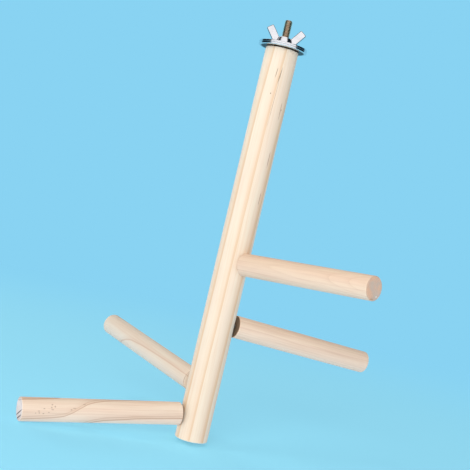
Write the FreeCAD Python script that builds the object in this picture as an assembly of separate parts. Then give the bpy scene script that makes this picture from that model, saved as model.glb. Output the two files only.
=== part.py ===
import FreeCAD, Part
import math
import os

# A perch tree for a bird cage. A round wooden trunk has a bolt in its top, four round perches stand out of
# its side like a spiral stair, and two wide washers and a wing nut clamp a cage panel above the trunk.
#
# Millimetres. The origin is on the bolt's axis, in the plane where the two washers meet, which is where
# the cage panel goes. +Z runs up the bolt, and the trunk hangs below. Bearings turn from +X towards +Y.

# Trunk: a straight round rod with broken edges.
TRUNK_DIAMETER = 25.0
TRUNK_LENGTH = 302.5
TRUNK_EDGE_ROUND = 0.8

# Perches: four rods cut to one length, with flat ends.
PERCH_DIAMETER = 17.2
PERCH_LENGTH = 122.0
PERCH_EDGE_ROUND = 0.7

# How far each perch's inner end is above the trunk's foot, to the middle of that end.
LOWEST_PERCH_HEIGHT = 18.1
SECOND_PERCH_HEIGHT = 42.3
THIRD_PERCH_HEIGHT = 90.1
TOP_PERCH_HEIGHT = 138.4

# The gap between the trunk and the nearest point of a perch's rim: two joints are turned home and two
# were left a little open.
CLOSED_JOINT_GAP = 0.05
OPEN_JOINT_GAP = 0.95

# The perches from the foot upwards, with each one's bearing and its rise towards the outer end in degrees.
PERCH_PLACES = (
    {"height": LOWEST_PERCH_HEIGHT, "bearing": 205.6, "rise": -5.7, "gap": OPEN_JOINT_GAP},
    {"height": SECOND_PERCH_HEIGHT, "bearing": 130.8, "rise": 7.4, "gap": CLOSED_JOINT_GAP},
    {"height": THIRD_PERCH_HEIGHT, "bearing": 25.8, "rise": -4.7, "gap": OPEN_JOINT_GAP},
    {"height": TOP_PERCH_HEIGHT, "bearing": -44.9, "rise": 3.9, "gap": CLOSED_JOINT_GAP},
)

# Perch screws: double-ended wood screws, hidden, with a bare shank at the joint.
SCREW_DIAMETER = 5.0
SCREW_CORE_DIAMETER = 3.4
SCREW_PITCH = 2.2
SCREW_LENGTH = 40.0
SCREW_DEPTH_IN_TRUNK = 17.0
SCREW_SHANK_LENGTH = 4.0
SCREW_POINT_LENGTH = 5.0
PILOT_END_CLEARANCE = 0.5

# Hanger bolt: machine thread above the trunk, wood thread down into it.
BOLT_DIAMETER = 6.0
BOLT_PITCH = 1.0
BOLT_FREE_LENGTH = 13.0
BOLT_SHANK_DIAMETER = 5.2
BOLT_SHANK_LENGTH = 3.0
BOLT_DEPTH_IN_TRUNK = 36.0
BOLT_WOOD_CORE_DIAMETER = 4.2
BOLT_WOOD_PITCH = 2.5
BOLT_POINT_LENGTH = 6.0
BOLT_TIP_BEVEL = 0.7

# Washers: two alike, wide enough to bridge the gap between two cage bars.
WASHER_DIAMETER = 37.0
WASHER_THICKNESS = 1.6
WASHER_HOLE_CLEARANCE = 0.2
WASHER_EDGE_BEVEL = 0.3

# Wing nut: a tapered hub with two straight wings with square ends. The span and the tip height are to the
# wings' sharp corners, before these are rounded.
HUB_FOOT_DIAMETER = 12.8
HUB_TOP_DIAMETER = 9.8
HUB_HEIGHT = 6.0
HUB_FOOT_HEIGHT = 1.3
HUB_TOP_BEVEL = 0.6
NUT_THREAD_CLEARANCE = 0.05
WING_SPAN = 30.4
WING_TIP_HEIGHT = 13.8
WING_WIDTH = 5.6
WING_THICKNESS = 2.4
WING_SPLAY = 37.0
WING_FOOT_HEIGHT = 0.5
WING_CORNER_ROUND = 1.0
WING_EDGE_ROUND = 0.5

# A 60 degree machine thread: its depth and crest flat, as shares of the pitch.
MACHINE_THREAD_DEPTH = 0.6134
MACHINE_CREST_FLAT = 0.125
MACHINE_FLANK_SLOPE = math.tan(math.radians(30.0))

# A wood thread: thin ridges, whose crest flat and flank width are shares of the pitch.
WOOD_CREST_FLAT = 0.10
WOOD_FLANK_WIDTH = 0.18

# Heights that follow from the sizes above.
TRUNK_TOP = -WASHER_THICKNESS
TRUNK_FOOT = TRUNK_TOP - TRUNK_LENGTH
NUT_SEAT = WASHER_THICKNESS
BOLT_TIP = NUT_SEAT + HUB_HEIGHT + BOLT_FREE_LENGTH
BOLT_POINT = TRUNK_TOP - BOLT_DEPTH_IN_TRUNK

ORIGIN = FreeCAD.Vector(0, 0, 0)
UP = FreeCAD.Vector(0, 0, 1)
ALONG_Y = FreeCAD.Vector(0, 1, 0)
FULL_TURN = 360


def turned(profile):
    """A solid turned about Z, from (radius, height) corners in order round its half section."""
    corners = [FreeCAD.Vector(radius, 0, height) for radius, height in profile]
    face = Part.Face(Part.makePolygon(corners + corners[:1]))
    return face.revolve(ORIGIN, UP, FULL_TURN)


def ridges(core_radius, crest_radius, low, high, pitch, crest_flat, flank):
    """Corners of a ridged wall from low to high: one ridge a pitch, which stands for a thread's turn."""
    count = int((high - low) / pitch)
    start = low + ((high - low) - count * pitch) / 2
    corners = []
    for turn in range(count):
        middle = start + (turn + 0.5) * pitch
        corners.append((core_radius, middle - crest_flat / 2 - flank))
        corners.append((crest_radius, middle - crest_flat / 2))
        corners.append((crest_radius, middle + crest_flat / 2))
        corners.append((core_radius, middle + crest_flat / 2 + flank))
    return corners


def wood_thread(core_diameter, diameter, low, high, pitch):
    """Corners of a wood screw's ridges from low to high."""
    crest_flat = WOOD_CREST_FLAT * pitch
    flank = WOOD_FLANK_WIDTH * pitch
    return ridges(core_diameter / 2, diameter / 2, low, high, pitch, crest_flat, flank)


def rounded_rod(diameter, length, edge_round):
    """A rod along Z from the origin, with both end edges rounded."""
    rod = Part.makeCylinder(diameter / 2, length)
    rims = [edge for edge in rod.Edges if isinstance(edge.Curve, Part.Circle)]
    return rod.makeFillet(edge_round, rims)


def perch_frame(place):
    """The placement that takes a rod along Z, starting at the origin, to a perch's place on the trunk."""
    bearing = math.radians(place["bearing"])
    rise = math.radians(place["rise"])
    stand_off = PERCH_DIAMETER / 2 * math.sin(abs(rise)) + place["gap"]
    distance = TRUNK_DIAMETER / 2 + stand_off
    height = TRUNK_FOOT + place["height"]
    inner_end = FreeCAD.Vector(distance * math.cos(bearing), distance * math.sin(bearing), height)
    turn = FreeCAD.Rotation(UP, place["bearing"])
    tip_over = FreeCAD.Rotation(ALONG_Y, 90 - place["rise"])
    return FreeCAD.Placement(inner_end, turn.multiply(tip_over)), stand_off


def screw_span(place):
    """Where a perch's screw starts and ends along the perch, counted from the perch's inner end."""
    stand_off = perch_frame(place)[1]
    start = -stand_off - SCREW_DEPTH_IN_TRUNK
    return start, start + SCREW_LENGTH


def make_perch(place):
    """A perch rod with a blind pilot hole for its screw."""
    end = screw_span(place)[1]
    rod = rounded_rod(PERCH_DIAMETER, PERCH_LENGTH, PERCH_EDGE_ROUND)
    pilot = Part.makeCylinder(SCREW_CORE_DIAMETER / 2, end + PILOT_END_CLEARANCE)
    perch = rod.cut(pilot)
    perch.Placement = perch_frame(place)[0]
    return perch


def make_perch_screw(place):
    """A double-ended screw: a point and a thread each way from the bare shank at the joint."""
    frame, stand_off = perch_frame(place)
    start, end = screw_span(place)
    joint = -stand_off / 2
    shank_low = joint - SCREW_SHANK_LENGTH / 2
    shank_high = joint + SCREW_SHANK_LENGTH / 2
    low = start + SCREW_POINT_LENGTH
    high = end - SCREW_POINT_LENGTH
    core = SCREW_CORE_DIAMETER / 2
    profile = [(0, start), (core, low)]
    profile += wood_thread(SCREW_CORE_DIAMETER, SCREW_DIAMETER, low, shank_low, SCREW_PITCH)
    profile += wood_thread(SCREW_CORE_DIAMETER, SCREW_DIAMETER, shank_high, high, SCREW_PITCH)
    profile += [(core, high), (0, end)]
    screw = turned(profile)
    screw.Placement = frame
    return screw


def make_trunk():
    """The trunk rod, with pilot holes for the bolt and for each perch's screw."""
    trunk = rounded_rod(TRUNK_DIAMETER, TRUNK_LENGTH, TRUNK_EDGE_ROUND)
    trunk.translate(FreeCAD.Vector(0, 0, TRUNK_FOOT))
    bolt_pilot_depth = BOLT_DEPTH_IN_TRUNK + PILOT_END_CLEARANCE
    bolt_pilot = Part.makeCylinder(BOLT_WOOD_CORE_DIAMETER / 2, bolt_pilot_depth)
    bolt_pilot.translate(FreeCAD.Vector(0, 0, TRUNK_TOP - bolt_pilot_depth))
    trunk = trunk.cut(bolt_pilot)
    for place in PERCH_PLACES:
        pilot_length = -screw_span(place)[0] + PILOT_END_CLEARANCE
        pilot = Part.makeCylinder(SCREW_CORE_DIAMETER / 2, pilot_length)
        pilot.translate(FreeCAD.Vector(0, 0, -pilot_length))
        pilot.Placement = perch_frame(place)[0].multiply(pilot.Placement)
        trunk = trunk.cut(pilot)
    return trunk


def make_hanger_bolt():
    """The bolt: a point and a wood thread in the trunk, a plain shank, and a machine thread above it."""
    crest = BOLT_DIAMETER / 2
    thread_depth = MACHINE_THREAD_DEPTH * BOLT_PITCH
    core = crest - thread_depth
    shank = BOLT_SHANK_DIAMETER / 2
    wood_core = BOLT_WOOD_CORE_DIAMETER / 2
    shank_foot = TRUNK_TOP - BOLT_SHANK_LENGTH
    wood_low = BOLT_POINT + BOLT_POINT_LENGTH
    profile = [(0, BOLT_POINT), (wood_core, wood_low)]
    profile += wood_thread(BOLT_WOOD_CORE_DIAMETER, BOLT_DIAMETER, wood_low, shank_foot, BOLT_WOOD_PITCH)
    profile += [(wood_core, shank_foot), (shank, shank_foot), (shank, TRUNK_TOP), (core, TRUNK_TOP)]
    profile += ridges(
        core,
        crest,
        TRUNK_TOP,
        BOLT_TIP - BOLT_TIP_BEVEL,
        BOLT_PITCH,
        MACHINE_CREST_FLAT * BOLT_PITCH,
        MACHINE_FLANK_SLOPE * thread_depth,
    )
    profile += [(core, BOLT_TIP - BOLT_TIP_BEVEL), (core - BOLT_TIP_BEVEL / 2, BOLT_TIP), (0, BOLT_TIP)]
    return turned(profile)


def make_washer(seat):
    """A flat washer whose lower face lies at the height seat, with its outer edges broken."""
    hole = BOLT_DIAMETER / 2 + WASHER_HOLE_CLEARANCE
    rim = WASHER_DIAMETER / 2
    top = seat + WASHER_THICKNESS
    return turned(
        [
            (hole, seat),
            (rim - WASHER_EDGE_BEVEL, seat),
            (rim, seat + WASHER_EDGE_BEVEL),
            (rim, top - WASHER_EDGE_BEVEL),
            (rim - WASHER_EDGE_BEVEL, top),
            (hole, top),
        ]
    )


def make_hub():
    """The wing nut's hub, standing at the origin, with a low foot and a tapered wall."""
    foot = HUB_FOOT_DIAMETER / 2
    crown = HUB_TOP_DIAMETER / 2
    return turned(
        [
            (0, 0),
            (foot, 0),
            (foot, HUB_FOOT_HEIGHT),
            (crown, HUB_HEIGHT - HUB_TOP_BEVEL),
            (crown - HUB_TOP_BEVEL, HUB_HEIGHT),
            (0, HUB_HEIGHT),
        ]
    )


def make_wing():
    """One wing, out along +X: a flat strip that leans out from the hub and ends square."""
    splay = math.radians(WING_SPLAY)
    along_x, along_z = math.sin(splay), math.cos(splay)
    inner_tip_x = WING_SPAN / 2 - WING_WIDTH * along_z
    inner_tip_z = WING_TIP_HEIGHT
    outer_tip_z = WING_TIP_HEIGHT - WING_WIDTH * along_x
    root_x = HUB_TOP_DIAMETER / 2 - HUB_TOP_BEVEL
    inner_root_z = inner_tip_z - (inner_tip_x - root_x) * along_z / along_x
    heel_x = WING_SPAN / 2 - (outer_tip_z - HUB_FOOT_HEIGHT) * along_x / along_z
    corners = [
        (root_x, inner_root_z),
        (inner_tip_x, inner_tip_z),
        (WING_SPAN / 2, outer_tip_z),
        (heel_x, HUB_FOOT_HEIGHT),
        (HUB_FOOT_DIAMETER / 2, WING_FOOT_HEIGHT),
        (root_x, WING_FOOT_HEIGHT),
    ]
    points = [FreeCAD.Vector(x, -WING_THICKNESS / 2, z) for x, z in corners]
    outline = Part.makePolygon(points + points[:1])
    wing = Part.Face(outline).extrude(FreeCAD.Vector(0, WING_THICKNESS, 0))
    tips = [edge for edge in wing.Edges if is_tip_corner(edge, inner_tip_x)]
    wing = wing.makeFillet(WING_CORNER_ROUND, tips)
    rims = [edge for edge in wing.Edges if is_side_rim(edge, root_x)]
    return wing.makeFillet(WING_EDGE_ROUND, rims)


def is_tip_corner(edge, inner_tip_x):
    """Whether an edge runs through the wing's thickness at one of its two tip corners."""
    low, high = edge.Vertexes[0].Point, edge.Vertexes[-1].Point
    through = abs(abs(high.y - low.y) - WING_THICKNESS) < Part.Precision.confusion()
    return through and low.x > inner_tip_x - Part.Precision.confusion()


def is_side_rim(edge, root_x):
    """Whether an edge bounds one of the wing's two flat sides, apart from the end inside the hub."""
    points = [vertex.Point for vertex in edge.Vertexes]
    on_side = all(abs(abs(p.y) - WING_THICKNESS / 2) < Part.Precision.confusion() for p in points)
    same_side = points[0].y * points[-1].y > 0
    at_root = all(p.x < root_x + Part.Precision.confusion() for p in points)
    return on_side and same_side and not at_root


def make_wing_nut():
    """The wing nut on the upper washer, with its wings along X."""
    nut = make_hub()
    for turn in (0, FULL_TURN / 2):
        wing = make_wing()
        wing.rotate(ORIGIN, UP, turn)
        nut = nut.fuse(wing)
    bore = Part.makeCylinder(BOLT_DIAMETER / 2 + NUT_THREAD_CLEARANCE, HUB_HEIGHT + WING_TIP_HEIGHT)
    nut = nut.cut(bore).removeSplitter()
    nut.translate(FreeCAD.Vector(0, 0, NUT_SEAT))
    return nut


def save(node, shape):
    """Writes one piece to parts/NODE.step."""
    shape.exportStep(os.path.join("parts", node + ".step"))


os.makedirs("parts", exist_ok=True)
save("trunk", make_trunk())
for number, place in enumerate(PERCH_PLACES, start=1):
    save(f"perch_{number}", make_perch(place))
    save(f"perch_screw_{number}", make_perch_screw(place))
save("hanger_bolt", make_hanger_bolt())
save("lower_washer", make_washer(-WASHER_THICKNESS))
save("upper_washer", make_washer(0))
save("wing_nut", make_wing_nut())
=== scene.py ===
import math

import bmesh
import bpy
import numpy as np
from mathutils import Matrix, Vector, noise


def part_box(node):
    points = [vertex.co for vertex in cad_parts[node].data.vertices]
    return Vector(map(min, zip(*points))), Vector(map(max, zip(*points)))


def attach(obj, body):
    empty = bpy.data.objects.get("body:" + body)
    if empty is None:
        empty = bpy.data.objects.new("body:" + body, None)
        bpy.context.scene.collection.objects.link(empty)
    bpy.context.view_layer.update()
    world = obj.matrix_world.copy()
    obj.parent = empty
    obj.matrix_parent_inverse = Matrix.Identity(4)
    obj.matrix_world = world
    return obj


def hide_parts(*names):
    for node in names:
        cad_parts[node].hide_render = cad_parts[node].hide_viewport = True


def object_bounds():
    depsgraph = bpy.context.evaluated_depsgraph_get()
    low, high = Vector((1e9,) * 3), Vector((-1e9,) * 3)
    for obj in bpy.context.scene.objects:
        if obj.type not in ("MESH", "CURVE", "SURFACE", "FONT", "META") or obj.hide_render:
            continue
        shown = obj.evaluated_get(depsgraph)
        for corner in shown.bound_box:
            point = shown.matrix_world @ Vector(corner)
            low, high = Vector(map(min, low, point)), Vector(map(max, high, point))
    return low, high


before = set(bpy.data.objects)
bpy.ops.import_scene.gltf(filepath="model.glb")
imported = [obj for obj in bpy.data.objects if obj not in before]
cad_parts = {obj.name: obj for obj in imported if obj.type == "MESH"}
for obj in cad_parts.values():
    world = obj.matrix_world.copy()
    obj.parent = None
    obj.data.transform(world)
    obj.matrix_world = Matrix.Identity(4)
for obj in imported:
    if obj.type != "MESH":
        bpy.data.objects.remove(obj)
cad_low, cad_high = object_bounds()


# Trunk. A pine rod that was milled round, sanded and sawn to length. Its growth rings run along it nearly
# straight, so its side shows long tan lines a few millimetres apart and its sawn ends show shallow arcs.

MM = 0.001

# Where the photograph was taken from: the marks on the wood are placed as seen from there.
VIEWPOINT = Vector((-0.0023, -0.7760, -0.1306))

# A rod's mesh: the rings of points on its sawn ends, and their spacing along its side.
END_RINGS = (0.15, 0.3, 0.45, 0.6, 0.72, 0.83, 0.92, 0.98)
RIM_STEPS = 6
RIM_MARGIN = 0.4 * MM
END_ZONE = 9 * MM
END_ZONE_STEP = 0.45 * MM
BODY_STEP = 1.3 * MM

# How the saw and the sanding left it.
SAW_MARK_PITCH = 0.9 * MM
SAW_MARK_DEPTH = 0.015 * MM
SAW_TURN = 40
WAVE_LENGTH = 14 * MM
WAVE_DEPTH = 0.03 * MM
CHIP_SIZE = 1.6 * MM
CHIP_DEPTH = 0.5 * MM
CHIP_RARITY = 0.2
NOISE_DRIFT = (17.3, 5.1, 9.7)

# Pine: patch sizes of each uneven thing in mm across, across and along the fibres, and the noise levels
# between which it shows.
GRAIN = {
    "wander": {"size": (45, 45, 150)},
    "waver": {"size": (6, 6, 40)},
    "fibre": {"size": (0.5, 0.5, 16), "detail": 3.0},
    "streak": {"size": (1.3, 1.3, 60), "detail": 3.0},
    "cloud": {"size": (9, 9, 70), "detail": 1.0},
    "canal": {"size": (0.7, 0.7, 7), "detail": 1.0},
    "pore": {"size": (0.35, 0.35, 0.35)},
    "stain": {"size": (8, 8, 8)},
}
GRAIN_SHOWS = {
    "fibre": (0.0, 0.3),
    "streak": (-0.08, 0.25),
    "cloud": (-0.2, 0.2),
    "canal": (0.27, 0.36),
    "pore": (-0.1, 0.3),
    "stain": (-0.12, 0.12),
}

# Shares of a year's growth at which its dark latewood, the line at its end and the faint line before that
# are full and gone.
LATE_FULL, LATE_FADE, YEAR_END = 0.93, 0.955, 1.0
LINE_FULL, LINE_FADE, LINE_END = 0.945, 0.96, 0.99
TWIN_FROM, TWIN_FULL, TWIN_FADE, TWIN_END = 0.80, 0.835, 0.84, 0.875
FAINTEST_YEAR = 0.6

FIBRE_SHADE = 0.22
END_SHADE = {"latewood": 0.5, "pore": 0.35}
END_FROM, END_FULL = 0.45, 0.9
RIM_FROM, RIM_FULL, RIM_FADE, RIM_END = 0.05, 0.35, 0.75, 0.98
PINE_RELIEF = {"fibre": 0.5, "latewood": 0.3, "streak": 0.3, "pore": 0.8}
PINE_RELIEF_STRENGTH = 0.35
PINE_RELIEF_DEPTH = 0.12 * MM
PINE_ROUGHNESS = 0.60
PINE_ROUGHER = {"fibre": 0.10, "latewood": -0.08, "endways": 0.15}
PINE_SPECULAR = 0.3

# Small marks on the wood.
MARK_REACH = 3 * MM
MARK_EDGE = (1.1, 0.6)
RAGGED_SIZE = (0.6, 0.6, 3)
RAGGEDNESS = 0.7


class Tone:
    """A shader socket used as a number: sums on it add Math nodes, and node() adds any other node."""

    def __init__(self, tree, socket=None):
        self.tree = tree
        self.socket = socket

    def node(self, kind, settings=None, inputs=None, output=0):
        made = self.tree.nodes.new(kind)
        for setting, value in (settings or {}).items():
            if setting == "stops":
                self.set_stops(made.color_ramp, value)
            else:
                setattr(made, setting, value)
        for key, value in (inputs or {}).items():
            if isinstance(value, Tone):
                self.tree.links.new(value.socket, made.inputs[key])
            else:
                made.inputs[key].default_value = value
        return Tone(self.tree, made.outputs[output] if made.outputs else None)

    @staticmethod
    def set_stops(ramp, stops):
        while len(ramp.elements) < len(stops):
            ramp.elements.new(1.0)
        for element, (position, level) in zip(ramp.elements, stops):
            element.position = position
            element.color = (level, level, level, 1)

    def math(self, operation, *values):
        return self.node("ShaderNodeMath", {"operation": operation}, dict(enumerate(values)))

    def __add__(self, other):
        return self.math("ADD", self, other)

    def __radd__(self, other):
        return self.math("ADD", other, self)

    def __sub__(self, other):
        return self.math("SUBTRACT", self, other)

    def __rsub__(self, other):
        return self.math("SUBTRACT", other, self)

    def __mul__(self, other):
        return self.math("MULTIPLY", self, other)

    def __rmul__(self, other):
        return self.math("MULTIPLY", other, self)

    def __truediv__(self, other):
        return self.math("DIVIDE", self, other)

    def __pow__(self, other):
        return self.math("POWER", self, other)

    def step(self, low, high):
        """0 below low and 1 above high, with a soft rise between; low above high turns it over."""
        if low > high:
            return 1 - self.step(high, low)
        settings = {"interpolation_type": "SMOOTHSTEP"}
        return self.node("ShaderNodeMapRange", settings, {"Value": self, "From Min": low, "From Max": high})

    def grown(self, size):
        """This place measured in patches of the given size along each axis, for a noise to read."""
        share = tuple(1 / length for length in size)
        return self.node("ShaderNodeVectorMath", {"operation": "MULTIPLY"}, {0: self, 1: share})

    def noise(self, size, detail=2.0, seed=0.0):
        """Noise from -0.5 to 0.5 with patches of the given size."""
        inputs = {"Vector": self.grown(size), "W": seed, "Scale": 1.0, "Detail": detail}
        return self.node("ShaderNodeTexNoise", {"noise_dimensions": "4D"}, inputs) - 0.5

    def bump(self, height, strength, depth):
        """A surface normal that is tilted by a height of 0 to 1, which stands for the given depth."""
        return self.node("ShaderNodeBump", inputs={"Strength": strength, "Distance": depth, "Height": height})

    def blend(self, first, second):
        """first where this is 0, second where it is 1: both colours."""
        factor, colour_a, colour_b, colour_result = 0, 6, 7, 2
        inputs = {factor: self, colour_a: first, colour_b: second}
        return self.node("ShaderNodeMix", {"data_type": "RGBA"}, inputs, output=colour_result)


def new_material(name):
    """An empty node material, its tree as a Tone, and its surface shader."""
    material = bpy.data.materials.new(name)
    material.use_nodes = True
    shader = material.node_tree.nodes["Principled BSDF"]
    return material, Tone(material.node_tree), shader


def drive(shader, **sockets):
    """Sets or links the shader's sockets; an underscore stands for a space in a socket's name."""
    for name, value in sockets.items():
        socket = shader.inputs[name.replace("_", " ")]
        if isinstance(value, Tone):
            value.tree.links.new(value.socket, socket)
        else:
            socket.default_value = value


def new_object(name, data):
    """An object in the scene that holds the given mesh, lamp or camera."""
    made = bpy.data.objects.new(name, data)
    bpy.context.scene.collection.objects.link(made)
    return made


class Rod:
    """A round rod of the frame: where it starts and points, its size, and which way is front and over.

    Front faces the viewpoint, and over is square to it: to the viewer's right on the trunk, up on a perch.
    """

    def __init__(self, start, along, length, radius):
        self.start = Vector(start)
        self.along = Vector(along)
        self.length = length
        self.radius = radius
        to_viewer = VIEWPOINT - self.start - self.along * length / 2
        self.front = (to_viewer - self.along * to_viewer.dot(self.along)).normalized()
        over = self.along.cross(self.front)
        self.over = over if over.z + over.x > 0 else -over

    def across(self, bearing):
        """The direction square to the rod at a bearing in degrees, from front towards over."""
        angle = math.radians(bearing)
        return self.front * math.cos(angle) + self.over * math.sin(angle)

    def place(self, distance, bearing):
        """The point of the rod's side at a distance from its start and a bearing."""
        return self.start + self.along * distance + self.across(bearing) * self.radius


def rod_stations(rod, rim):
    """(radius, distance from the start, how much it faces endways) of each ring of points down a rod."""
    cap = [(share * (rod.radius - rim), 0.0, 1.0) for share in END_RINGS]
    turns = [math.pi / 2 * step / RIM_STEPS for step in range(1, RIM_STEPS + 1)]
    rounding = [
        (rod.radius - rim + rim * math.sin(turn), rim - rim * math.cos(turn), math.cos(turn) ** 2)
        for turn in turns
    ]
    near_end = list(np.arange(rim + RIM_MARGIN, END_ZONE, END_ZONE_STEP))
    body = list(np.arange(END_ZONE, rod.length / 2, BODY_STEP))
    half = cap + rounding + [(rod.radius, distance, 0.0) for distance in near_end + body]
    return half + [(radius, rod.length - distance, end) for radius, distance, end in reversed(half)]


def rod_piece(name, rod, rim, segments, seed):
    """A rod in place as one closed mesh, with saw-marked ends, uneven rims and a slightly wavy side."""
    drift = Vector([seed * step for step in NOISE_DRIFT])
    saw_line = rod.across(seed * SAW_TURN)
    points, endways = [], []
    stations = rod_stations(rod, rim)
    for radius, distance, end in stations:
        inwards = 1 if distance < rod.length / 2 else -1
        at_rim = 4 * end * (1 - end) if radius > rod.radius - rim else 0.0
        for step in range(segments):
            out = rod.across(360 * step / segments)
            spot = rod.along * distance + out * radius
            worn = (1 - noise.noise(spot / WAVE_LENGTH + drift)) * WAVE_DEPTH * (1 - end)
            chip = max(0.0, noise.noise(spot / CHIP_SIZE + drift) - CHIP_RARITY) * CHIP_DEPTH * at_rim
            saw = (1 - math.sin(math.tau * spot.dot(saw_line) / SAW_MARK_PITCH)) * SAW_MARK_DEPTH * end
            spot += rod.along * inwards * (saw + chip) - out * (worn + chip)
            points.append(rod.start + spot)
            endways.append(end)
    faces = []
    for ring in range(len(stations) - 1):
        low = ring * segments
        for step in range(segments):
            after = (step + 1) % segments
            faces.append((low + step, low + after, low + segments + after, low + segments + step))
    last = (len(stations) - 1) * segments
    for middle, ring in ((rod.start, 0), (rod.start + rod.along * rod.length, last)):
        faces += [(len(points), ring + step, ring + (step + 1) % segments) for step in range(segments)]
        points.append(middle)
        endways.append(1.0)
    mesh = bpy.data.meshes.new(name)
    mesh.from_pydata(points, [], faces)
    mesh.attributes.new("endways", "FLOAT", "POINT").data.foreach_set("value", endways)
    outward_normals(mesh)
    mesh.shade_smooth()
    return new_object(name, mesh)


def outward_normals(mesh):
    """Turns every face of a closed mesh outwards."""
    shape = bmesh.new()
    shape.from_mesh(mesh)
    bmesh.ops.recalc_face_normals(shape, faces=shape.faces)
    shape.to_mesh(mesh)
    shape.free()


def log_mapping(tone, rod, ring_bearing, pith_distance):
    """Object coordinates in the log's own frame, in mm: X out of the pith, Z along the fibres."""
    out = rod.across(ring_bearing)
    beside = rod.along.cross(out)
    turn = Matrix((out, beside, rod.along))
    shift = turn @ (-rod.start / MM) + Vector((pith_distance, 0, 0))
    place = tone.node("ShaderNodeTexCoord", output="Object")
    inputs = {
        "Vector": place,
        "Location": shift,
        "Rotation": turn.to_euler("XYZ"),
        "Scale": (1 / MM, 1 / MM, 1 / MM),
    }
    return tone.node("ShaderNodeMapping", {"vector_type": "POINT"}, inputs)


def swing_of(tone, share, swing):
    """How far the rings swing sideways down a rod, in mm, from (share of its length, mm) pairs."""
    low = min(level for _, level in swing)
    high = max(level for _, level in swing)
    stops = [(place, (level - low) / (high - low)) for place, level in swing]
    ramp = tone.node("ShaderNodeValToRGB", {"stops": stops}, {"Fac": share})
    ramp.socket.node.color_ramp.interpolation = "B_SPLINE"
    return ramp * (high - low) + low


def pine(name, rod, look, marks=()):
    """Sanded pine, cut from a log: rings round a far pith, fibres and flecks along it, darker end grain."""
    material, tone, shader = new_material(name)
    log = log_mapping(tone, rod, look["ring_bearing"], look["pith_distance"])
    grain = {
        kind: log.noise(seed=look["seed"] + number, **shape)
        for number, (kind, shape) in enumerate(GRAIN.items())
    }
    shows = {kind: grain[kind].step(low, high) for kind, (low, high) in GRAIN_SHOWS.items()}

    axes = [tone.node("ShaderNodeSeparateXYZ", inputs={0: log}, output=index) for index in range(3)]
    radial = (axes[0] * axes[0] + axes[1] * axes[1]) ** 0.5
    wander = grain["wander"] * look["wander"]
    waver = grain["waver"] * look["waver"]
    swing = swing_of(tone, axes[2] / (rod.length / MM), look["swing"])
    ring = (radial + wander + waver + swing) / look["ring_width"] + look["phase"]
    share = ring.math("FRACT", ring)
    year = ring.math("FLOOR", ring)
    weight = year.node("ShaderNodeTexWhiteNoise", {"noise_dimensions": "1D"}, {"W": year + look["seed"]})
    band = share.step(look["late_from"], LATE_FULL) ** 2 * share.step(YEAR_END, LATE_FADE)
    line = share.step(look["line_from"], LINE_FULL) * share.step(LINE_END, LINE_FADE)
    twin = share.step(TWIN_FROM, TWIN_FULL) * share.step(TWIN_END, TWIN_FADE)
    latewood = band * look["band"] + line * look["line"] + twin * look["twin"]
    latewood = latewood * (FAINTEST_YEAR + weight * (1 - FAINTEST_YEAR))

    colour = shows["cloud"].blend(look["pale"], look["warm"])
    colour = (shows["streak"] * look["streaks"]).blend(colour, look["late"])
    colour = latewood.blend(colour, look["late"])
    colour = (shows["fibre"] * FIBRE_SHADE).blend(colour, look["late"])
    colour = (shows["canal"] * look["flecks"]).blend(colour, look["fleck"])

    endways = tone.node("ShaderNodeAttribute", {"attribute_name": "endways"}, output="Fac")
    inner = (axes[2] - rod.length / MM / 2).step(1.0, -1.0)
    outer_end = shows["stain"].blend(look["end_pale"], look["end_grey"])
    # An inner end's sawn face takes its own colour, which on perches with an open joint is a near-black
    # painted shade in the gap against the trunk.
    sawn = inner.blend(outer_end, look["inner_end"])
    end_shade = latewood * END_SHADE["latewood"] + shows["pore"] * END_SHADE["pore"]
    sawn = end_shade.blend(sawn, look["end_late"])
    colour = endways.step(END_FROM, END_FULL).blend(colour, sawn)
    # Rounded rims take their own colour: near-black painted shade under the washers on the trunk's top,
    # darker painted shade where the perches meet the trunk, the wood's own colour elsewhere.
    rim = endways.step(RIM_FROM, RIM_FULL) * endways.step(RIM_END, RIM_FADE) * look["rim"]
    colour = rim.blend(colour, inner.blend(look["outer_rim"], look["inner_rim"]))

    dents = 0.0
    for mark in marks:
        mask = mark_mask(tone, log, mark)
        colour = (mask * mark["strength"]).blend(colour, mark["colour"])
        dents = mask * mark["depth"] + dents

    levels = {"fibre": grain["fibre"], "latewood": latewood, "streak": grain["streak"]}
    levels["pore"] = grain["pore"] * endways
    levels["endways"] = endways
    height = sum(levels[kind] * amount for kind, amount in PINE_RELIEF.items()) - dents
    bump = tone.bump(height, PINE_RELIEF_STRENGTH, PINE_RELIEF_DEPTH)
    roughness = PINE_ROUGHNESS + sum(levels[kind] * amount for kind, amount in PINE_ROUGHER.items())
    drive(shader, Base_Color=colour, Roughness=roughness, Normal=bump, Specular_IOR_Level=PINE_SPECULAR)
    return material


def mark_mask(tone, log, mark):
    """1 inside a small long mark, such as a knot, a fleck or a split, and 0 outside it."""
    out, along = mark["out"], mark["along"]
    turn = Matrix((out, along.cross(out), along)).transposed()
    inputs = {
        "Vector": tone.node("ShaderNodeTexCoord", output="Object"),
        "Location": mark["centre"],
        "Rotation": turn.to_euler("XYZ"),
        "Scale": (MARK_REACH, mark["half_width"], mark["half_length"]),
    }
    local = tone.node("ShaderNodeMapping", {"vector_type": "TEXTURE"}, inputs)
    far = tone.node("ShaderNodeVectorMath", {"operation": "LENGTH"}, {0: local}, output="Value")
    ragged = log.noise(RAGGED_SIZE, seed=mark["half_length"]) * RAGGEDNESS
    return (far + ragged).step(*MARK_EDGE)


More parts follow.
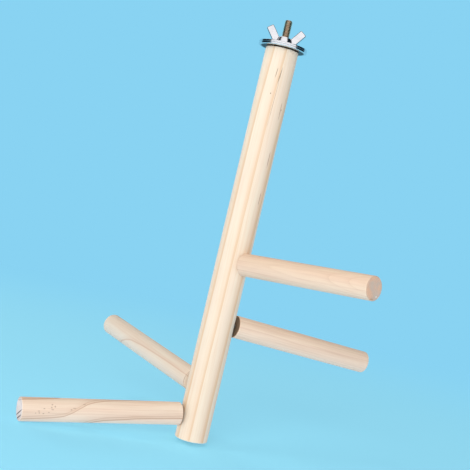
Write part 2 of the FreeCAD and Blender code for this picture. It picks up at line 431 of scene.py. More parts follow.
def side_mark(rod, distance, bearing, half_length, half_width, tilt, colour, strength=0.75, depth=0.5):
    """A mark on a rod's side: distances from its start and half sizes in mm, turned by tilt in degrees."""
    out = rod.across(bearing)
    return {
        "centre": rod.start + rod.along * distance * MM + out * rod.radius,
        "out": out,
        "along": Matrix.Rotation(math.radians(tilt), 3, out) @ rod.along,
        "half_length": half_length * MM,
        "half_width": half_width * MM,
        "colour": colour,
        "strength": strength,
        "depth": depth,
    }


def dress(piece, material, body, slot, *nodes):
    """Gives a piece its finish and the body it rides on, and hides the frame's nodes it stands for; slot is
    not used.
    """
    piece.data.materials.clear()
    piece.data.materials.append(material)
    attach(piece, body)
    if nodes:
        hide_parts(*nodes)


TRUNK_RIM = 0.85 * MM
TRUNK_SEGMENTS = 160
TRUNK_SEED = 1
TRUNK_LOOK = {
    "seed": 3.0,
    "ring_bearing": 90,
    "pith_distance": 60,
    "ring_width": 9.4,
    "phase": 0.483,
    "late_from": 0.32,
    "line_from": 0.80,
    "band": 0.37,
    "line": 0.38,
    "twin": 0.22,
    "wander": 1.6,
    "waver": 0.7,
    "swing": ((0.0, 0.6), (0.3, 0.0), (0.6, -1.2), (0.8, -1.6), (0.92, -2.8), (1.0, -4.2)),
    "streaks": 0.22,
    "flecks": 0.25,
    "pale": (0.945, 0.815, 0.655, 1),
    "warm": (0.94, 0.775, 0.62, 1),
    "late": (0.80, 0.50, 0.27, 1),
    "fleck": (0.50, 0.30, 0.18, 1),
    "end_pale": (0.80, 0.64, 0.49, 1),
    "end_grey": (0.72, 0.60, 0.47, 1),
    "end_late": (0.52, 0.35, 0.23, 1),
    "inner_end": (0.80, 0.64, 0.49, 1),
    # The top rim is a near-black painted shade under the washers; the foot's rim keeps the wood's own pale
    # colour.
    "rim": 0.85,
    "outer_rim": (0.02, 0.013, 0.01, 1),
    "inner_rim": (0.95, 0.88, 0.77, 1),
}
KNOT_BROWN = (0.33, 0.20, 0.11, 1)
PINK_BROWN = (0.52, 0.31, 0.21, 1)
TRUNK_MARKS = {
    KNOT_BROWN: (
        {"distance": 282.7, "bearing": -1, "half_length": 4.5, "half_width": 0.3, "tilt": -4},
        {"distance": 281.2, "bearing": 13, "half_length": 7.0, "half_width": 0.4, "tilt": -5},
        {"distance": 267.0, "bearing": -5, "half_length": 0.7, "half_width": 0.5, "tilt": 0},
        {"distance": 257.0, "bearing": 50, "half_length": 0.9, "half_width": 0.4, "tilt": 0},
    ),
    PINK_BROWN: (
        {"distance": 262.0, "bearing": 12, "half_length": 22, "half_width": 0.2, "tilt": -2},
        {"distance": 189.0, "bearing": 46, "half_length": 6, "half_width": 0.45, "tilt": -1},
        {"distance": 219.0, "bearing": 45, "half_length": 7, "half_width": 0.45, "tilt": 0},
        {"distance": 256.0, "bearing": 46, "half_length": 7, "half_width": 0.45, "tilt": 1},
    ),
}

trunk_low, trunk_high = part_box("trunk")
TRUNK_RADIUS = trunk_high.x
trunk_rod = Rod((0, 0, trunk_low.z), (0, 0, 1), trunk_high.z - trunk_low.z, TRUNK_RADIUS)
trunk = rod_piece("trunk_pine", trunk_rod, TRUNK_RIM, TRUNK_SEGMENTS, TRUNK_SEED)
trunk_marks = [
    side_mark(trunk_rod, colour=colour, **mark)
    for colour, own_marks in TRUNK_MARKS.items()
    for mark in own_marks
]
trunk_pine = pine("sanded_pine_trunk", trunk_rod, TRUNK_LOOK, trunk_marks)
dress(trunk, trunk_pine, "perch_tree", "trunk_wood", "trunk")


# Perches. Four shorter pine rods from other boards, pinker than the trunk, sawn square and screwed on end
# first. The lowest was cut across a swing in the grain, and its free end has a short split.

PERCH_RADIUS = 8.6 * MM
PERCH_LENGTH = 122 * MM
CLOSED_GAP = 0.05 * MM
OPEN_GAP = 0.95 * MM
PERCH_PLACES = {
    "perch_1": {"bearing": 205.6, "rise": -5.7, "height": 18.1 * MM, "gap": OPEN_GAP},
    "perch_2": {"bearing": 130.8, "rise": 7.4, "height": 42.3 * MM, "gap": CLOSED_GAP},
    "perch_3": {"bearing": 25.8, "rise": -4.7, "height": 90.1 * MM, "gap": OPEN_GAP},
    "perch_4": {"bearing": -44.9, "rise": 3.9, "height": 138.4 * MM, "gap": CLOSED_GAP},
}
PERCH_RIM = 0.72 * MM
PERCH_SEGMENTS = 128
PERCH_LOOK = dict(
    TRUNK_LOOK,
    twin=0.0,
    late=(0.62, 0.38, 0.25, 1),
    end_pale=(0.68, 0.46, 0.34, 1),
    end_grey=(0.56, 0.45, 0.37, 1),
    end_late=(0.40, 0.25, 0.17, 1),
    # Inner ends: near-black, a painted shade in the gap against the trunk.
    inner_end=(0.20, 0.14, 0.09, 1),
    rim=0.5,
    outer_rim=(0.90, 0.80, 0.69, 1),
    # Inner rims: darker, a painted shade where the perches meet the trunk.
    inner_rim=(0.45, 0.30, 0.20, 1),
)
PERCH_LOOKS = {
    "perch_1": {
        "seed": 11.0,
        "ring_bearing": -90,
        "pith_distance": 70,
        "ring_width": 13.6,
        "phase": 0.793,
        "late_from": 0.30,
        "line_from": 0.915,
        "band": 0.30,
        "line": 0.70,
        "twin": 0.4,
        "wander": 0.5,
        "waver": 0.5,
        "swing": (
            (0.05, 9.6),
            (0.17, 9.0),
            (0.29, 8.7),
            (0.36, 8.1),
            (0.5, 7.0),
            (0.56, 5.85),
            (0.61, 4.1),
            (0.65, 1.34),
            (0.69, -1.46),
            (0.745, -4.8),
            (0.82, -5.6),
            (0.99, -7.1),
        ),
        "streaks": 0.25,
        "flecks": 0.4,
        "pale": (0.96, 0.80, 0.65, 1),
        "warm": (0.94, 0.73, 0.58, 1),
        "end_pale": (0.95, 0.84, 0.79, 1),
        "end_grey": (0.86, 0.76, 0.73, 1),
    },
    "perch_2": {
        "seed": 23.0,
        "ring_bearing": -90,
        "pith_distance": 60,
        "ring_width": 20.0,
        "phase": 0.845,
        "late_from": 0.70,
        "line_from": 0.92,
        "band": 0.22,
        "line": 0.5,
        "wander": 0.4,
        "waver": 0.4,
        "swing": (
            (0.0, 2.0),
            (0.08, 2.1),
            (0.258, 2.2),
            (0.493, 1.45),
            (0.64, 0.0),
            (0.71, -2.5),
            (0.78, -6.4),
            (0.86, -9.5),
        ),
        "streaks": 0.18,
        "flecks": 0.2,
        "pale": (0.85, 0.76, 0.64, 1),
        "warm": (0.84, 0.71, 0.58, 1),
        "inner_end": (0.93, 0.84, 0.73, 1),
        # A darker painted shade line where this perch meets the trunk.
        "inner_rim": (0.30, 0.20, 0.13, 1),
    },
    "perch_3": {
        "seed": 37.0,
        "ring_bearing": 160,
        "pith_distance": 34,
        "ring_width": 3.4,
        "phase": 0.2,
        "late_from": 0.40,
        "line_from": 0.86,
        "band": 0.16,
        "line": 0.18,
        "wander": 7.0,
        "waver": 0.6,
        "swing": ((0.0, 0.0), (0.5, 0.8), (1.0, 0.2)),
        "streaks": 0.25,
        "flecks": 0.2,
        "pale": (0.95, 0.76, 0.60, 1),
        "warm": (0.94, 0.72, 0.56, 1),
    },
    "perch_4": {
        "seed": 41.0,
        "ring_bearing": 12,
        "pith_distance": 55,
        "ring_width": 2.1,
        "phase": 0.5,
        "late_from": 0.40,
        "line_from": 0.86,
        "band": 0.14,
        "line": 0.10,
        "wander": 2.0,
        "waver": 0.4,
        "swing": ((0.0, 0.0), (0.35, 0.6), (0.7, 2.2), (0.85, 4.0), (1.0, 6.5)),
        "streaks": 0.25,
        "flecks": 0.3,
        "pale": (0.90, 0.70, 0.53, 1),
        "warm": (0.89, 0.66, 0.50, 1),
        "inner_end": (0.70, 0.50, 0.37, 1),
        "end_pale": (0.88, 0.56, 0.38, 1),
        "end_grey": (0.72, 0.56, 0.46, 1),
        "outer_rim": (0.50, 0.35, 0.25, 1),
    },
}
SPLIT_DARK = (0.08, 0.045, 0.03, 1)
FLECK_BROWN = (0.42, 0.26, 0.17, 1)
CHIP_WHITE = (0.93, 0.90, 0.84, 1)
SIDE_MARK_STRENGTH = 0.55
PERCH_SIDE_MARKS = {
    "perch_1": (
        {"distance": 100.4, "bearing": 24, "half_length": 0.7, "half_width": 0.6},
        {"distance": 98.4, "bearing": 15, "half_length": 0.6, "half_width": 0.8},
        {"distance": 100.9, "bearing": 10, "half_length": 0.7, "half_width": 0.6},
        {"distance": 100.2, "bearing": 0, "half_length": 1.2, "half_width": 0.4},
        {"distance": 106.2, "bearing": 4, "half_length": 0.8, "half_width": 0.45},
        {"distance": 110.0, "bearing": -8, "half_length": 1.0, "half_width": 0.4},
        {"distance": 109.6, "bearing": -17, "half_length": 0.7, "half_width": 0.5},
        {"distance": 106.6, "bearing": -19, "half_length": 0.8, "half_width": 0.5},
        {"distance": 102.8, "bearing": -13, "half_length": 0.7, "half_width": 0.4},
        {"distance": 112.2, "bearing": -18, "half_length": 0.6, "half_width": 0.4},
        {"distance": 86.5, "bearing": 2, "half_length": 0.8, "half_width": 0.5},
        {"distance": 84.2, "bearing": 9, "half_length": 1.4, "half_width": 0.4},
        {"distance": 76.8, "bearing": 30, "half_length": 1.2, "half_width": 0.4},
    ),
}


def perch_end_mark(rod, over, beside, half_length, half_width, tilt, colour, strength, depth):
    """A mark on a perch's outer end, at a place in mm over and beside its middle."""
    sideways = rod.along.cross(rod.over)
    return {
        "centre": rod.start + rod.along * rod.length + (rod.over * over + sideways * beside) * MM,
        "out": rod.along,
        "along": Matrix.Rotation(math.radians(tilt), 3, rod.along) @ sideways,
        "half_length": half_length * MM,
        "half_width": half_width * MM,
        "colour": colour,
        "strength": strength,
        "depth": depth,
    }


SPLIT = {"beside": 0.0, "half_width": 0.55, "tilt": 14, "colour": SPLIT_DARK, "strength": 0.9, "depth": 4.0}
PERCH_END_MARKS = {
    "perch_1": (
        dict(SPLIT, over=-2.4, half_length=9.5),
        dict(SPLIT, over=-5.6, half_length=7.5),
    ),
    "perch_4": (
        {
            "over": -5.2,
            "beside": -3.4,
            "half_length": 0.8,
            "half_width": 0.7,
            "tilt": 0,
            "colour": CHIP_WHITE,
            "strength": 0.9,
            "depth": 1.0,
        },
        {
            "over": -7.4,
            "beside": 1.0,
            "half_length": 2.2,
            "half_width": 0.6,
            "tilt": 5,
            "colour": FLECK_BROWN,
            "strength": 0.6,
            "depth": 1.5,
        },
    ),
}


def perch_as_placed(bearing, rise, height, gap):
    """The rod of a perch from its bearing about the trunk, its rise, and the place of its inner end."""
    turn, slope = math.radians(bearing), math.radians(rise)
    outward = Vector((math.cos(turn), math.sin(turn), 0))
    along = outward * math.cos(slope) + Vector((0, 0, math.sin(slope)))
    inner_end = outward * (TRUNK_RADIUS + PERCH_RADIUS * abs(math.sin(slope)) + gap)
    return Rod(inner_end + Vector((0, 0, trunk_low.z + height)), along, PERCH_LENGTH, PERCH_RADIUS)


for name, own_look in PERCH_LOOKS.items():
    perch_rod = perch_as_placed(**PERCH_PLACES[name])
    look = {**PERCH_LOOK, **own_look}
    fleck = {"tilt": 0, "colour": FLECK_BROWN, "strength": SIDE_MARK_STRENGTH}
    marks = [side_mark(perch_rod, **fleck, **mark) for mark in PERCH_SIDE_MARKS.get(name, ())]
    marks += [perch_end_mark(perch_rod, **mark) for mark in PERCH_END_MARKS.get(name, ())]
    perch = rod_piece(name + "_pine", perch_rod, PERCH_RIM, PERCH_SEGMENTS, look["seed"])
    dress(perch, pine("sanded_pine_" + name, perch_rod, look, marks), "perch_tree", "perch_wood", name)


# Perch screws. Double-ended wood screws of plain zinc-plated steel, of which only a little of the shank shows
# in the two joints that are not turned home.

# Near-black colour painted on plated parts as shade, where a point's stored shade level says.
SHADE_BLACK = (0.012, 0.012, 0.015, 1)
DULL_PATCH = (4 * MM, 4 * MM, 4 * MM)
GRIT_SIZE = (0.5 * MM, 0.5 * MM, 0.5 * MM)
SCRATCH_SIZE = (6 * MM, 0.15 * MM, 0.15 * MM)
SCRATCH_SHOWS = (0.12, 0.3)
DULL_SHOWS = (-0.1, 0.3)
PLATE_RELIEF = {"cloud": 1.0, "grit": 0.10, "scratch": 0.05}
PLATE_RELIEF_STRENGTH = 0.2
PLATE_RELIEF_DEPTH = 0.05 * MM
PLATE_ROUGHER = {"cloud": 0.10, "grit": 0.05, "scratch": 0.06, "thin": 0.25}


def plated(name, base, dull, roughness, tarnish):
    """Zinc-plated metal: bright with cloudy dull patches and fine scratches, and a near-black, rougher
    painted shade where a point's stored shade level is 1.
    """
    material, tone, shader = new_material(name)
    place = tone.node("ShaderNodeTexCoord", output="Object")
    cloud = place.noise(DULL_PATCH, detail=3.0)
    scratch = place.noise(SCRATCH_SIZE, detail=1.0).step(*SCRATCH_SHOWS)
    thin = tone.node("ShaderNodeAttribute", {"attribute_name": "thin"}, output="Fac")
    levels = {"cloud": cloud, "grit": place.noise(GRIT_SIZE), "scratch": scratch, "thin": thin}
    colour = (cloud.step(*DULL_SHOWS) * tarnish).blend(base, dull)
    # Painted shade: near-black where the stored shade level is 1.
    colour = thin.blend(colour, SHADE_BLACK)
    height = sum(levels[kind] * amount for kind, amount in PLATE_RELIEF.items())
    bump = tone.bump(height, PLATE_RELIEF_STRENGTH, PLATE_RELIEF_DEPTH)
    roughness += sum(levels[kind] * amount for kind, amount in PLATE_ROUGHER.items())
    drive(shader, Base_Color=colour, Metallic=1.0, Roughness=roughness, Normal=bump)
    return material


def mark_painted_shade(mesh, shade_of):
    """Stores on each point how much painted shade it gets, which the given function finds from the point's
    place and normal.
    """
    levels = [shade_of(vertex.co, vertex.normal) for vertex in mesh.vertices]
    mesh.attributes.new("thin", "FLOAT", "POINT").data.foreach_set("value", levels)


PLAIN_ZINC = (0.50, 0.50, 0.51, 1)
AGED_ZINC = (0.34, 0.33, 0.32, 1)
screw_zinc = plated("plain_zinc_screw", PLAIN_ZINC, AGED_ZINC, roughness=0.38, tarnish=0.8)
for number in range(1, len(PERCH_LOOKS) + 1):
    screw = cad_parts[f"perch_screw_{number}"]
    screw.data.materials.clear()
    screw.data.materials.append(screw_zinc)


# Hanger bolt. An M6 machine thread above the trunk and a wood thread down into it, rolled on one steel rod
# and yellow passivated. Both threads are helices, made by one node tree.

BOLT_RADIUS = 3.0 * MM
THREAD_PITCH = 1.0 * MM
THREAD_DEPTH = 0.6134 * THREAD_PITCH
WOOD_THREAD_PITCH = 2.5 * MM
WOOD_CORE_RADIUS = 2.1 * MM
WOOD_POINT_LENGTH = 6.0 * MM
SHANK_RADIUS = 2.6 * MM
SHANK_LENGTH = 3.0 * MM
SHANK_SHOULDER = 0.4 * MM
SHANK_BEVEL = 0.2 * MM
TIP_BEVEL = 0.7 * MM
BOLT_SEGMENTS = 64

# The tip's rounding, as steps in from the core and down from the tip.
TIP_CORNERS = (
    (0.0, TIP_BEVEL),
    (0.12 * MM, 0.3 * TIP_BEVEL),
    (0.35 * MM, 0.05 * MM),
    (0.5 * MM, 0.0),
)
TIP_DIMPLE = 0.05 * MM

# The ridge's shape as shares: of the pitch for its widths, of the core's radius for its bite, and of its
# full size for what is left of it where it runs out.
HELIX_STEPS = 40
CREST_HALF_FLAT = 0.06
RIDGE_BITE = 0.04
RIDGE_LEFT = 0.1
MACHINE_ROOT = 0.86
WOOD_ROOT = 0.45
MACHINE_RUN_OUT = 0.8

# How far above its foot each thread starts, and how much shorter it is than the part of the rod it is on.
MACHINE_START, MACHINE_LOSS = 0.1 * MM, 0.35 * MM
WOOD_START, WOOD_LOSS = 0.8 * WOOD_POINT_LENGTH, 0.85 * WOOD_POINT_LENGTH


def thread_tree():
    """Winds one V-shaped ridge up a helix about Z, and thins it out at both ends."""
    tree = bpy.data.node_groups.new("helical_thread", "GeometryNodeTree")
    tree.interface.new_socket("Geometry", in_out="OUTPUT", socket_type="NodeSocketGeometry")
    for name, default in (
        ("Foot", 0.0),
        ("Length", 20 * MM),
        ("Pitch", THREAD_PITCH),
        ("Core", BOLT_RADIUS - THREAD_DEPTH),
        ("Crest", BOLT_RADIUS),
        ("Root width", MACHINE_ROOT * THREAD_PITCH),
        ("Run out", THREAD_PITCH),
    ):
        tree.interface.new_socket(name, in_out="INPUT", socket_type="NodeSocketFloat").default_value = default
    tree.interface.new_socket("Material", in_out="INPUT", socket_type="NodeSocketMaterial")
    tone = Tone(tree)
    given = tree.nodes.new("NodeGroupInput")
    size = {socket.name: Tone(tree, socket) for socket in given.outputs if socket.name}
    spiral = tone.node(
        "GeometryNodeCurveSpiral",
        inputs={
            "Resolution": HELIX_STEPS,
            "Rotations": size["Length"] / size["Pitch"],
            "Start Radius": size["Core"],
            "End Radius": size["Core"],
            "Height": size["Length"],
        },
    )
    level = tone.node("GeometryNodeSetCurveNormal", {"mode": "Z_UP"}, {"Curve": spiral})
    place = tone.node("GeometryNodeInputPosition")
    height = tone.node("ShaderNodeSeparateXYZ", inputs={0: place}, output=2)
    from_top = size["Length"] - height
    top_share = from_top.math("MINIMUM", from_top / size["Run out"], 1.0)
    foot_share = height.math("MINIMUM", height / size["Run out"], 1.0)
    thickness = top_share * foot_share * (1 - RIDGE_LEFT) + RIDGE_LEFT
    thinned = tone.node("GeometryNodeSetCurveRadius", inputs={"Curve": level, "Radius": thickness})
    corners = [
        tone.node("ShaderNodeCombineXYZ", inputs={0: x, 1: y})
        for x, y in (
            (size["Core"] * RIDGE_BITE, size["Root width"] * -0.5),
            (size["Core"] - size["Crest"], size["Pitch"] * -CREST_HALF_FLAT),
            (size["Core"] - size["Crest"], size["Pitch"] * CREST_HALF_FLAT),
            (size["Core"] * RIDGE_BITE, size["Root width"] * 0.5),
        )
    ]
    ridge = tone.node(
        "GeometryNodeCurvePrimitiveQuadrilateral",
        {"mode": "POINTS"},
        {f"Point {index}": corner for index, corner in enumerate(corners, start=1)},
    )
    swept = tone.node(
        "GeometryNodeCurveToMesh",
        inputs={"Curve": thinned, "Profile Curve": ridge, "Scale": thickness, "Fill Caps": True},
    )
    lift = tone.node("ShaderNodeCombineXYZ", inputs={2: size["Foot"]})
    raised = tone.node("GeometryNodeTransform", inputs={"Geometry": swept, "Translation": lift})
    whole = tone.node("GeometryNodeRealizeInstances", inputs={"Geometry": raised})
    finished = tone.node("GeometryNodeSetMaterial", inputs={"Geometry": whole, "Material": size["Material"]})
    result = tree.nodes.new("NodeGroupOutput")
    tree.links.new(finished.socket, result.inputs[0])
    return tree


def finished_mesh(piece):
    """A plain mesh of a piece with its modifiers done."""
    return bpy.data.meshes.new_from_object(piece.evaluated_get(bpy.context.evaluated_depsgraph_get()))


def thread_mesh(tree, name, material, sizes):
    """A helical thread as a plain mesh, from the thread tree and its named sizes."""
    holder = new_object(name, bpy.data.meshes.new(name))
    modifier = holder.modifiers.new("thread", "NODES")
    modifier.node_group = tree
    keys = {item.name: item.identifier for item in tree.interface.items_tree if item.in_out == "INPUT"}
    for size, value in sizes.items():
        modifier[keys[size]] = value
    modifier[keys["Material"]] = material
    made = finished_mesh(holder)
    bpy.data.objects.remove(holder)
    return made


def mesh_from(name, shape):
    """A mesh made from a bmesh, which is used up."""
    mesh = bpy.data.meshes.new(name)
    shape.to_mesh(mesh)
    shape.free()
    return mesh


def turned_piece(name, profile, segments, closed=False):
    """A shape turned about Z from (radius, height) corners; a closed profile makes a ring."""
    shape = bmesh.new()
    corners = [shape.verts.new((radius, 0, height)) for radius, height in profile]
    edges = [shape.edges.new(pair) for pair in zip(corners, corners[1:])]
    if closed:
        edges.append(shape.edges.new((corners[-1], corners[0])))
    turning = {"cent": (0, 0, 0), "axis": (0, 0, 1), "dvec": (0, 0, 0), "angle": math.tau}
    bmesh.ops.spin(shape, geom=corners + edges, steps=segments, use_merge=True, **turning)
    bmesh.ops.remove_doubles(shape, verts=shape.verts, dist=0.001 * MM)
    bmesh.ops.recalc_face_normals(shape, faces=shape.faces)
    return new_object(name, mesh_from(name, shape))


GOLD = (1.0, 0.80, 0.52, 1)
DULL_GOLD = (0.92, 0.62, 0.42, 1)
GROOVE_BROWN = (0.12, 0.05, 0.035, 1)
GROOVE_SHADE = 0.6
GROOVE_FROM = BOLT_RADIUS - 0.05 * MM
GROOVE_FULL = BOLT_RADIUS - 0.85 * THREAD_DEPTH
GOLD_PATCH = (2 * MM, 2 * MM, 2 * MM)
GOLD_SHOWS = (-0.2, 0.2)
GOLD_ROUGHNESS = 0.20
GROOVE_ROUGHER, CLOUD_ROUGHER = 0.20, 0.1
GOLD_RELIEF_STRENGTH = 0.3
GOLD_RELIEF_DEPTH = 0.04 * MM


def passivated(name):
    """Yellow-passivated zinc on a rolled thread: gold on the crests, darker brown and rougher in the grooves.
    """
    material, tone, shader = new_material(name)
    place = tone.node("ShaderNodeTexCoord", output="Object")
    flat = tone.node("ShaderNodeVectorMath", {"operation": "MULTIPLY"}, {0: place, 1: (1, 1, 0)})
    off_axis = tone.node("ShaderNodeVectorMath", {"operation": "LENGTH"}, {0: flat}, output="Value")
    groove = off_axis.step(GROOVE_FROM, GROOVE_FULL)
    cloud = place.noise(GOLD_PATCH, detail=3.0)
    gold = cloud.step(*GOLD_SHOWS).blend(GOLD, DULL_GOLD)
    colour = (groove * GROOVE_SHADE).blend(gold, GROOVE_BROWN)
    bump = tone.bump(cloud, GOLD_RELIEF_STRENGTH, GOLD_RELIEF_DEPTH)
    roughness = GOLD_ROUGHNESS + groove * GROOVE_ROUGHER + cloud * CLOUD_ROUGHER
    drive(shader, Base_Color=colour, Metallic=1.0, Roughness=roughness, Normal=bump)
    return material


bolt_low, bolt_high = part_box("hanger_bolt")
trunk_top, tip, point = trunk_high.z, bolt_high.z, bolt_low.z
core = BOLT_RADIUS - THREAD_DEPTH
bolt = turned_piece(
    "yellow_hanger_bolt",
    [
        (0, point),
        (WOOD_CORE_RADIUS, point + WOOD_POINT_LENGTH),
        (WOOD_CORE_RADIUS, trunk_top - SHANK_LENGTH - SHANK_SHOULDER),
        (SHANK_RADIUS, trunk_top - SHANK_LENGTH),
        (SHANK_RADIUS, trunk_top - SHANK_BEVEL),
        (core, trunk_top),
        *((core - inwards, tip - down) for inwards, down in TIP_CORNERS),
        (0, tip - TIP_DIMPLE),
    ],
    BOLT_SEGMENTS,
)
helix = thread_tree()
yellow = passivated("yellow_passivated_steel")
bolt.data.materials.append(yellow)
machine_thread = {
    "Foot": trunk_top + MACHINE_START,
    "Length": tip - trunk_top - MACHINE_LOSS,
    "Pitch": THREAD_PITCH,
    "Core": core,
    "Crest": BOLT_RADIUS,
    "Root width": MACHINE_ROOT * THREAD_PITCH,
    "Run out": MACHINE_RUN_OUT * THREAD_PITCH,
}
wood_thread = {
    "Foot": point + WOOD_START,
    "Length": trunk_top - SHANK_LENGTH - point - WOOD_LOSS,
    "Pitch": WOOD_THREAD_PITCH,
    "Core": WOOD_CORE_RADIUS,
    "Crest": BOLT_RADIUS,
    "Root width": WOOD_ROOT * WOOD_THREAD_PITCH,
    "Run out": WOOD_THREAD_PITCH,
}
joined = bmesh.new()
joined.from_mesh(bolt.data)
for sizes in (machine_thread, wood_thread):
    joined.from_mesh(thread_mesh(helix, "thread", yellow, sizes))
bmesh.ops.recalc_face_normals(joined, faces=joined.faces)
joined.to_mesh(bolt.data)
joined.free()
dress(bolt, yellow, "perch_tree", "yellow_zinc", "hanger_bolt")


# Washers. Two wide flat washers, punched from sheet steel and plated bright. The punch leaves one edge of
# each softly rounded and the other one crisp.

WASHER_SOFT_EDGE = 0.45 * MM
WASHER_CRISP_EDGE = 0.15 * MM
WASHER_HOLE_RADIUS = 3.2 * MM
# How far out from the axis the painted shade on a washer's underside reaches, where it fades, and a little
# slack.
SHADE_RADIUS = 16.0 * MM
SHADE_FADE = 1.2 * MM
SHADE_MARGIN = 0.1 * MM
FACE_RELIEF = 0.01 * MM
FACES_DOWN = -0.9
EDGE_STEPS = 5
WASHER_SEGMENTS = 160


def rounded_corner(radius, height, size, from_angle):
    """Points of a quarter round whose centre is given, turning anticlockwise from an angle in degrees."""
    angles = [math.radians(from_angle + 90 * step / EDGE_STEPS) for step in range(EDGE_STEPS + 1)]
    return [(radius + size * math.cos(angle), height + size * math.sin(angle)) for angle in angles]


def washer_underside_shade(place, normal):
    """Painted shade on the underside, from the hole out to a set radius."""
    return float(normal.z < FACES_DOWN and place.to_2d().length < SHADE_RADIUS + SHADE_MARGIN)


def washer_piece(name, node, soft_side_up):
    """A punched washer the size of the frame's node, its faces drawn back a hair from what they touch."""
    low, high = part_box(node)
    low.z += FACE_RELIEF
    high.z -= FACE_RELIEF
    rim, hole = high.x, WASHER_HOLE_RADIUS
    under = WASHER_CRISP_EDGE if soft_side_up else WASHER_SOFT_EDGE
    upper = WASHER_SOFT_EDGE if soft_side_up else WASHER_CRISP_EDGE
    profile = rounded_corner(rim - under, low.z + under, under, -90)
    profile += rounded_corner(rim - upper, high.z - upper, upper, 0)
    profile += rounded_corner(hole + upper, high.z - upper, upper, 90)
    profile += rounded_corner(hole + under, low.z + under, under, 180)
    # Two more rings on the underside, where the painted shade ends.
    profile += [(SHADE_RADIUS, low.z), (SHADE_RADIUS + SHADE_FADE, low.z)]
    piece = turned_piece(name, profile, WASHER_SEGMENTS, closed=True)
    piece.data.shade_smooth()
    mark_painted_shade(piece.data, washer_underside_shade)
    return piece


BRIGHT_ZINC = (0.80, 0.81, 0.83, 1)
DULL_ZINC = (0.55, 0.58, 0.62, 1)
bright_zinc = plated("bright_zinc_plate", BRIGHT_ZINC, DULL_ZINC, roughness=0.16, tarnish=0.35)
for node, soft_side_up in (("lower_washer", False), ("upper_washer", True)):
    dress(washer_piece(node + "_plate", node, soft_side_up), bright_zinc, node, "bright_zinc", node)


# Wing nut. Cast in one piece and plated bright, so that its wings flow into its hub with small fillets and
# every edge is soft. Its bore is plain and a little wide, so that the bolt's thread never cuts into it.

NUT_BORE_RADIUS = 3.12 * MM
BORE_BAND = 0.01 * MM
POINT_MERGE = 0.002 * MM
CAST_GRAIN = 0.12 * MM
NUT_SMOOTHING = 8
NUT_HUB_RADIUS = 6.5 * MM
# How strongly the wings' edges take the painted shade.
WING_EDGE_DARKNESS = 2.5

shape = bmesh.new()
shape.from_mesh(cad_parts["wing_nut"].data)
bmesh.ops.remove_doubles(shape, verts=shape.verts, dist=POINT_MERGE)
frame_bore = min(vertex.co.to_2d().length for vertex in shape.verts)
for vertex in shape.verts:
    if vertex.co.to_2d().length < frame_bore + BORE_BAND:
        vertex.co.xy *= NUT_BORE_RADIUS / frame_bore
wing_nut = new_object("cast_wing_nut", mesh_from("sharp_wing_nut", shape))
remesh = wing_nut.modifiers.new("cast_skin", "REMESH")
remesh.mode = "VOXEL"
remesh.voxel_size = CAST_GRAIN
smooth = wing_nut.modifiers.new("soft_edges", "SMOOTH")
smooth.iterations = NUT_SMOOTHING
cast_mesh = finished_mesh(wing_nut)
wing_nut.modifiers.clear()
wing_nut.data = cast_mesh
cast_mesh.shade_smooth()


def wing_edge_shade(place, normal):
    """Painted shade along the edges of the wings, and none on the hub."""
    on_wing = place.to_2d().length > NUT_HUB_RADIUS
    return min(1.0, WING_EDGE_DARKNESS * (1 - abs(normal.y))) if on_wing else 0.0


mark_painted_shade(cast_mesh, wing_edge_shade)
dress(wing_nut, bright_zinc, "wing_nut", "bright_zinc", "wing_nut")


# Studio. A pale floor that runs out into a backdrop of the same colour, broad soft lamps from the viewer's
# side, and dark cards and white panels that only polished metal sees, as a photographer sets them for plated
# parts.

BACKDROP = (0.25, 0.65, 0.89, 1)
FLOOR_BLUE = (0.32, 0.78, 1.0, 1)
FLOOR_BOUNCE = (0.60, 0.70, 0.80, 1)
FLOOR_LIFT = (0.20, 0.31, 0.42, 1)
FLOOR_GLOW = 0.30
ROOM_LIGHT = (1.0, 0.98, 0.96, 1)
ROOM_LEVEL = 0.42
FLOOR_RADIUS = 12.0
FLOOR_DROP = 0.5 * MM
FADE_FROM, FADE_TO = 0.3, 1.1
CENTRE = (cad_low + cad_high) / 2


def dimmed(colour, level):
    """A colour at a share of its level."""
    return tuple(channel * level for channel in colour[:3]) + (1,)


def seen_mask(tone):
    """1 for rays that show the background itself: straight, mirrored or through glass."""
    kinds = ("Is Camera Ray", "Is Glossy Ray", "Is Transmission Ray")
    camera, glossy, through = (tone.node("ShaderNodeLightPath", output=kind) for kind in kinds)
    return camera.math("MINIMUM", camera + glossy + through, 1.0)


world = bpy.data.worlds.new("studio")
world.use_nodes = True
bpy.context.scene.world = world
world.node_tree.nodes.clear()
air = Tone(world.node_tree)
seen = seen_mask(air)
room = seen.blend(dimmed(ROOM_LIGHT, ROOM_LEVEL), BACKDROP)
sky = air.node("ShaderNodeBackground", inputs={"Color": room, "Strength": 1.0})
air.node("ShaderNodeOutputWorld", inputs={"Surface": sky})

floor_shape = bmesh.new()
bmesh.ops.create_circle(floor_shape, cap_ends=True, segments=128, radius=FLOOR_RADIUS)
floor = new_object("floor", mesh_from("floor", floor_shape))
floor.location = (0, 0, cad_low.z - FLOOR_DROP)
floor_material, tone, shader = new_material("pale_floor")
place = tone.node("ShaderNodeTexCoord", output="Object")
distance = tone.node("ShaderNodeVectorMath", {"operation": "LENGTH"}, {0: place}, output="Value")
far = distance.step(FADE_FROM, FADE_TO)
seen = seen_mask(tone)
matt = tone.node("ShaderNodeBsdfDiffuse", inputs={"Color": seen.blend(FLOOR_BOUNCE, FLOOR_BLUE)})
shine = seen.blend(FLOOR_LIFT, dimmed(BACKDROP, FLOOR_GLOW))
glow = tone.node("ShaderNodeEmission", inputs={"Color": shine, "Strength": 1.0})
near_floor = tone.node("ShaderNodeAddShader", inputs={0: matt, 1: glow})
far_floor = tone.node("ShaderNodeEmission", inputs={"Color": BACKDROP, "Strength": 1.0})
whole_floor = tone.node("ShaderNodeMixShader", inputs={0: far * seen, 1: near_floor, 2: far_floor})
output = floor_material.node_tree.nodes["Material Output"]
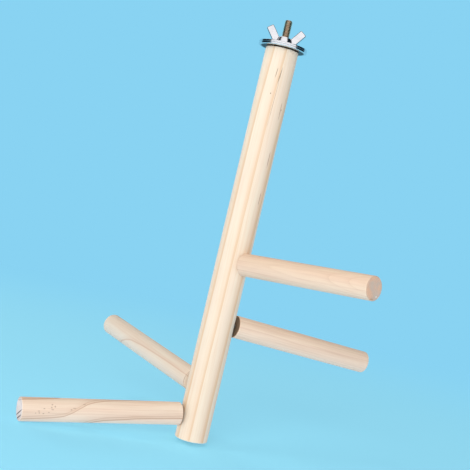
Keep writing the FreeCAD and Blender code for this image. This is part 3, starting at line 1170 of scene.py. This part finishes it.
floor_material.node_tree.links.new(whole_floor.socket, output.inputs["Surface"])
floor.data.materials.append(floor_material)

LAMPS = {
    "key": {"place": (-0.28, -1.4, 0.1), "width": 0.85, "power": 12.7, "colour": (1.0, 0.925, 0.84)},
    "overhead": {"place": (-0.8, -0.5, 1.1), "width": 0.4, "power": 1.8, "colour": (1.0, 0.95, 0.88)},
    "back_left": {"place": (-1.4, 1.3, 0.1), "width": 1.0, "power": 9.0, "colour": (1.0, 0.96, 0.90)},
    "back_right": {"place": (1.4, 1.3, 0.1), "width": 1.0, "power": 7.0, "colour": (1.0, 0.96, 0.90)},
}
for name, lamp in LAMPS.items():
    light = bpy.data.lights.new(name, "AREA")
    light.size = lamp["width"]
    light.energy = lamp["power"]
    light.color = lamp["colour"]
    holder = new_object(name, light)
    holder.location = lamp["place"]
    holder.rotation_euler = (Vector(lamp["place"]) - CENTRE).to_track_quat("Z", "Y").to_euler()
    holder.visible_camera = holder.visible_glossy = False

CARD_BLACK = (0.012, 0.02, 0.03, 1)
CARD_WHITE = (1.0, 0.97, 0.98, 1)
CARD_LEVEL = 1.1
CARDS = {
    "card_front": {"place": (0, -2.6, 0.8), "size": (6.0, 4.0), "glow": 0},
    "card_far_left": {"place": (-2.6, -0.4, 0.8), "size": (4.5, 4.0), "glow": 0},
    "card_far_right": {"place": (2.6, -0.4, 0.8), "size": (4.5, 4.0), "glow": 0},
    "card_over": {"place": (0, -0.6, 2.4), "size": (5.0, 4.0), "glow": 0},
    "card_left": {"place": (-0.5, 0.1, 0.05), "size": (0.35, 0.6), "glow": 0},
    "card_right": {"place": (0.5, 0.1, 0.05), "size": (0.35, 0.6), "glow": 0},
    "panel_front": {"place": (0, -0.6, 0.12), "size": (2.2, 0.36), "glow": CARD_LEVEL},
    "panel_high": {"place": (-0.06, -0.42, 0.52), "size": (1.3, 0.32), "glow": CARD_LEVEL},
    "panel_over": {"place": (-0.05, 0.2, 0.8), "size": (0.6, 1.3), "glow": CARD_LEVEL},
}
for name, card in CARDS.items():
    card_material, tone, shader = new_material(name)
    drive(shader, Base_Color=CARD_BLACK, Roughness=1.0, Specular_IOR_Level=0.0)
    drive(shader, Emission_Color=CARD_WHITE, Emission_Strength=card["glow"])
    width, height = card["size"]
    shape = bmesh.new()
    bmesh.ops.create_grid(shape, x_segments=1, y_segments=1, size=0.5)
    bmesh.ops.scale(shape, vec=(width, height, 1), verts=shape.verts)
    board = new_object(name, mesh_from(name, shape))
    board.location = card["place"]
    board.rotation_euler = (-Vector(card["place"])).to_track_quat("Z", "Y").to_euler()
    board.data.materials.append(card_material)
    board.visible_camera = board.visible_diffuse = board.visible_shadow = False
    board.visible_transmission = board.visible_volume_scatter = False


# Camera. It stands where the photograph was taken from, a little above the middle of the part's height, and
# is rolled so that the upright trunk leans as it does there.

IMAGE_WIDTH = 470
FOCAL_PIXELS = 1026.4
HALF_PIXEL = 0.5
SENSOR = 36.0
CLIP_START = 0.05
LOOK = Vector((0.0, 0.99980, -0.01991))
TOP = Vector((-0.22882, 0.01938, 0.97328))

camera = new_object("camera", bpy.data.cameras.new("camera"))
camera.data.sensor_width = SENSOR
camera.data.lens = FOCAL_PIXELS / IMAGE_WIDTH * SENSOR
camera.data.clip_start = CLIP_START
camera.data.shift_x = -HALF_PIXEL / IMAGE_WIDTH
camera.data.shift_y = HALF_PIXEL / IMAGE_WIDTH
side = LOOK.cross(TOP).normalized()
upright = side.cross(LOOK).normalized()
facing = Matrix((side, upright, -LOOK.normalized())).transposed()
camera.matrix_world = Matrix.Translation(VIEWPOINT) @ facing.to_4x4()
bpy.context.scene.camera = camera
bpy.context.scene.view_settings.view_transform = "Standard"
